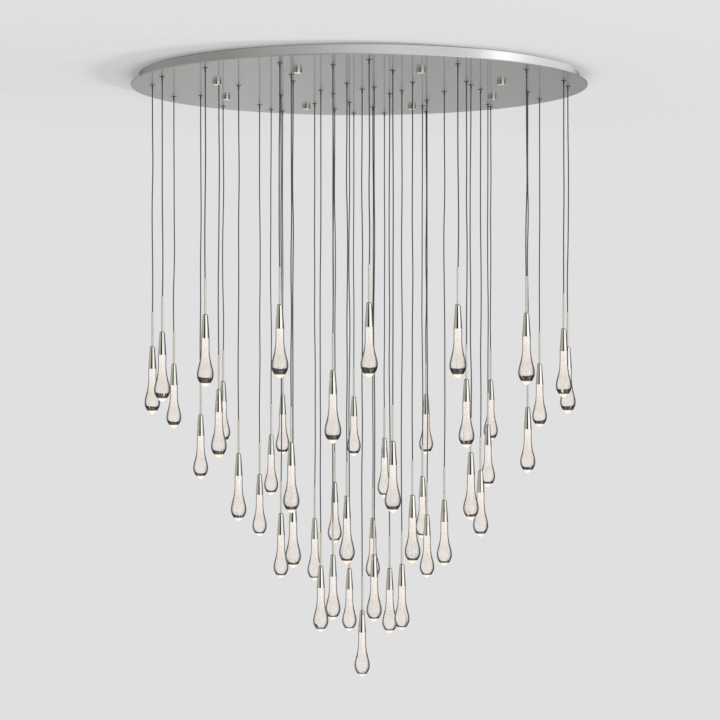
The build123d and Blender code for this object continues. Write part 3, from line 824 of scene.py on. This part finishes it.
def cord_points(x, y, top, foot, chance):
    """A cord's route: straight down from its grip into the lamp, through a few points that lie up to
    CORD_WAVINESS off the line each way, as a hanging cord keeps a little of the curl of its reel."""
    count = 4 + int(round((top - foot) / CORD_POINT_SPACING))
    height = np.linspace(top, foot, count)
    aside = chance.uniform(-CORD_WAVINESS, CORD_WAVINESS, (count, 2))
    aside[:2] = 0
    stem_top = foot + STEM_TOP - LAMP_FOOT - LAMP_HEIGHT
    aside[height < stem_top + CORD_STRAIGHT_ABOVE_STEM] = 0
    return np.column_stack([x + aside[:, 0], y + aside[:, 1], height, np.ones(count)])


def make_cords(places, finish):
    """The hanging cords: taut under the drops' weight, from the grips down to the lamps.
    """
    chance = np.random.default_rng(CORD_SEED)
    declared = sorted(places, key=lambda place: place[4])[:MOST_DECLARED_CORDS]
    for number, node, x, y, mouth in places:
        foot = mouth + LAMP_FOOT + LAMP_HEIGHT
        points = cord_points(x, y, CORD_TOP, foot, chance)
        curve = bpy.data.curves.new(f"cord_{number:02d}", "CURVE")
        curve.dimensions = "3D"
        curve.bevel_depth = CORD_RADIUS
        curve.bevel_resolution = 3
        curve.use_fill_caps = True
        curve.resolution_u = 5
        curve.render_resolution_u = 5
        spline = curve.splines.new("NURBS")
        spline.points.add(len(points) - 1)
        spline.points.foreach_set("co", points.ravel())
        spline.order_u = 3
        spline.use_endpoint_u = True
        curve.materials.append(finish)
        cord = bpy.data.objects.new(f"cord_{number:02d}", curve)
        bpy.context.scene.collection.objects.link(cord)
        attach(cord, f"drop_{number:02d}")
        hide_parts(node)
        if (number, node, x, y, mouth) in declared:
            CORD_TOP - foot


def crystal_line():
    """The drop's outer line from its neck to its tip, through the part's own points."""
    upper = flowing([CRYSTAL_NECK, CRYSTAL_WAIST, CRYSTAL_FLANK, CRYSTAL_BULB], (0, -1), (0, -1), 7)
    lower = flowing([CRYSTAL_BULB, CRYSTAL_CHIN, CRYSTAL_TIP], (0, -1), (-1, -CRYSTAL_TIP_SLOPE), 8)
    return np.concatenate([upper[:-1], lower])


def crystal_shape():
    """The glass: its spigot in the cup, then the outer line down to the tip."""
    bevel = 0.0006
    spigot = [
        (0, SPIGOT_LENGTH),
        (SPIGOT_RADIUS - bevel, SPIGOT_LENGTH),
        (SPIGOT_RADIUS, SPIGOT_LENGTH - bevel),
        (SPIGOT_RADIUS, 0.0),
    ]
    return turned(np.concatenate([spigot, crystal_line()]), CRYSTAL_SIDES)


def seeding_shape():
    """The seeded heart: a column down the neck that widens with the glass and is rounded off in the bulb."""
    r, bevel = SEEDING_RADIUS, 0.001
    places = [
        (r, SEEDING_TOP - bevel),
        (r * 1.02, -0.045),
        (r * 1.32, -0.078),
        (r * 1.66, -0.101),
        (0.0, -0.121),
    ]
    top = [(0, SEEDING_TOP), (r - bevel, SEEDING_TOP)]
    return turned(np.concatenate([top, flowing(places, (0, -1), (-1, 0), 8)]), LIGHT_SIDES)


def glow_shape():
    """The light in the tip, about half a millimetre inside the glass, its top a shallow dish, and the
    thin ring of light where the glass meets the cup."""
    line = crystal_line()
    tip = line[line[:, 1] < CRYSTAL_TIP[1] + GLOW_HEIGHT]
    inset = np.column_stack([np.maximum(tip[:, 0] - GLOW_INSET, 0), tip[:, 1] + GLOW_LIFT])
    reach, brim = inset[0]
    dish = [
        (0, brim - 0.0022),
        (reach * 0.35, brim - 0.0019),
        (reach * 0.7, brim - 0.0010),
        (reach * 0.93, brim - 0.0001),
    ]
    cap = turned(np.concatenate([dish, inset]), LIGHT_SIDES)
    ring = turned(eased([
        (JOINT_LIGHT_INNER, JOINT_LIGHT_FOOT, 0),
        (JOINT_LIGHT_INNER, JOINT_LIGHT_TOP, 0.0003),
        (JOINT_LIGHT_OUTER, JOINT_LIGHT_TOP, 0.0003),
        (JOINT_LIGHT_OUTER, JOINT_LIGHT_FOOT, 0.0003),
    ], 2), LIGHT_SIDES, loop=True)
    return together(cap, ring)


def cup_shape():
    """The cup: a tapered turned shell with a rounded top, a softened lip, and bores for what goes in it."""
    return turned(eased([
        (STEM_RADIUS + FIT, CUP_LENGTH, 0.0003),
        (CUP_TOP_RADIUS, CUP_LENGTH, CUP_SHOULDER),
        (CUP_MOUTH_RADIUS, 0.0, 0.0003),
        (CUP_BORE_RADIUS, 0.0, 0.0003),
        (CUP_BORE_RADIUS, CUP_BORE_DEPTH, 0.0005),
        (LAMP_RADIUS + FIT, CUP_BORE_DEPTH, 0),
        (LAMP_RADIUS + FIT, LAMP_FOOT + LAMP_HEIGHT + FIT, 0),
        (STEM_RADIUS + FIT, STEM_FOOT, 0),
    ], 6), CUP_SIDES, loop=True)


def stem_shape():
    """The stem: a slim tube that the cord runs down, its top edge rounded over."""
    return turned(eased([
        (CORD_RADIUS + FIT, STEM_TOP, 0.0004),
        (STEM_RADIUS, STEM_TOP, 0.0009),
        (STEM_RADIUS, STEM_FOOT, 0.0003),
        (CORD_RADIUS + FIT, STEM_FOOT, 0),
    ], 4), STEM_SIDES, loop=True)


def lamp_shape():
    """The lamp in the cup, with its lens towards the crystal."""
    top, foot = LAMP_FOOT + LAMP_HEIGHT, LAMP_FOOT
    return turned(eased([
        (0, top, 0),
        (LAMP_RADIUS, top, 0.0006),
        (LAMP_RADIUS, foot, 0.0006),
        (LENS_RADIUS, foot, 0),
        (LENS_RADIUS * 0.9, foot - LENS_HEIGHT * 0.75, 0.0004),
        (0, foot - LENS_HEIGHT, 0),
    ], 3), LAMP_SIDES)


def make_drops(places):
    """Every drop's crystal, seeding, light, cup, stem and lamp, each on the drop's body."""
    glass, core, light = clear_crystal(), seeded_core(), lamp_light()
    cup_metal = nickel("cup_nickel", (0.76, 0.745, 0.70), (0.84, 0.825, 0.78), 0.02)
    satin = stem_metal()
    case = moulded("lamp_case", (0.62, 0.62, 0.60), (0.75, 0.75, 0.73), 0.5, 1800.0)
    kinds = [
        ("crystal", crystal_shape(), glass, "crystal"),
        ("seeding", seeding_shape(), core, "crystal"),
        ("glow", glow_shape(), light, "crystal"),
        ("cup", cup_shape(), cup_metal, "polished_nickel"),
        ("stem", stem_shape(), satin, "polished_nickel"),
        ("lamp", lamp_shape(), case, "driver_case"),
    ]
    for number, node, x, y, mouth in places:
        for kind, shape, finish, slot in kinds:
            hung = placed(shape, [(x, y, mouth)])
            piece(f"{kind}_{number:02d}", hung, finish, f"drop_{number:02d}", [node])


# ================================================================ the canopy
def around(angle, radius):
    """The point at this angle and radius about the upright axis."""
    return radius * math.cos(math.radians(angle)), radius * math.sin(math.radians(angle))


def make_canopy(places):
    """The canopy's visible pieces: face plate, rim, cap nuts and grips."""
    plate, rim = plate_steel(), rim_steel()
    bright = nickel("fitting_nickel", (0.78, 0.78, 0.77), (0.88, 0.88, 0.86), 0.04)
    dark = nickel("grip_nickel", (0.12, 0.12, 0.12), (0.19, 0.19, 0.185), 0.16)
    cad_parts["face_plate"].data.materials.clear()
    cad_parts["face_plate"].data.materials.append(plate)

    outer, wall = RIM_RADIUS, RIM_WALL
    strip = turned(eased([
        (outer, 0.0, 0.0012),
        (outer, PLATE_TOP, 0.0012),
        (outer - RIM_BOTTOM_FLANGE, PLATE_TOP, 0.0004),
        (outer - RIM_BOTTOM_FLANGE, PLATE_TOP + wall, 0.0004),
        (outer - wall, PLATE_TOP + wall, 0.0005),
        (outer - wall, -wall, 0.0005),
        (outer - RIM_TOP_FLANGE, -wall, 0.0004),
        (outer - RIM_TOP_FLANGE, 0.0, 0.0004),
    ], 3), RIM_SIDES, loop=True)
    piece("rim_strip", strip, rim, "canopy", ["canopy_rim"])

    cap = turned(eased([
        (0, PLATE_UNDERSIDE - CAP_BORE_DEPTH, 0),
        (CAP_BORE_RADIUS, PLATE_UNDERSIDE - CAP_BORE_DEPTH, 0),
        (CAP_BORE_RADIUS, PLATE_UNDERSIDE, 0.0005),
        (CAP_RADIUS, PLATE_UNDERSIDE, 0.0006),
        (CAP_RADIUS, PLATE_UNDERSIDE - CAP_HEIGHT, 0.0012),
        (0, PLATE_UNDERSIDE - CAP_HEIGHT, 0),
    ], 4), CAP_SIDES)
    spots = [(*around(angle, STUD_CIRCLE_RADIUS), 0) for angle in ARM_ANGLES]
    piece("cap_nut_faces", placed(cap, spots), bright, "canopy", ["cap_nuts"])

    flange_foot = PLATE_UNDERSIDE - GRIP_FLANGE_THICKNESS
    grip = turned(eased([
        (GRIP_BORE_RADIUS, GRIP_TOP, 0),
        (GRIP_THREAD_RADIUS, GRIP_TOP, 0.0004),
        (GRIP_THREAD_RADIUS, PLATE_UNDERSIDE, 0),
        (GRIP_FLANGE_RADIUS, PLATE_UNDERSIDE, 0.0003),
        (GRIP_FLANGE_RADIUS, flange_foot, 0.0009),
        (GRIP_STEM_RADIUS, flange_foot, 0.0005),
        (GRIP_STEM_RADIUS, flange_foot - GRIP_STEM_LENGTH, 0.0005),
        (GRIP_BORE_RADIUS, flange_foot - GRIP_STEM_LENGTH, 0),
    ], 2), GRIP_SIDES, loop=True)
    spots = [(x, y, 0) for number, node, x, y, mouth in places]
    piece("grip_bodies", placed(grip, spots), dark, "canopy", ["cord_grips"])


def dress_hidden_nodes():
    """Finishes for the nodes inside the canopy, which keep their CAD shapes."""
    zinc = zinc_steel()
    case = moulded("driver_case", (0.70, 0.70, 0.68), (0.82, 0.82, 0.80), 0.45, 1500.0)
    black = moulded("black_plastic", (0.02, 0.02, 0.022), (0.05, 0.05, 0.052), 0.5, 1200.0)
    skin = moulded("lead_skin", (0.05, 0.05, 0.052), (0.12, 0.12, 0.125), 0.4, 900.0)
    finishes = {
        "ceiling_frame": zinc,
        "hanger_studs": zinc,
        "rim_fixings": zinc,
        "grip_nuts": zinc,
        "driver_screws": zinc,
        "led_drivers": case,
        "junction_box": case,
        "supply_bush": black,
        "wiring": skin,
    }
    for name, finish in finishes.items():
        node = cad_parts[name]
        node.data.materials.clear()
        node.data.materials.append(finish)


bpy.context.scene.view_settings.view_transform = "Standard"
make_camera()
PLACES = drop_places()
make_cords(PLACES, cord_wire())
make_drops(PLACES)
make_canopy(PLACES)
dress_hidden_nodes()
make_world()
make_dark_band()
make_lamps(make_ceiling())
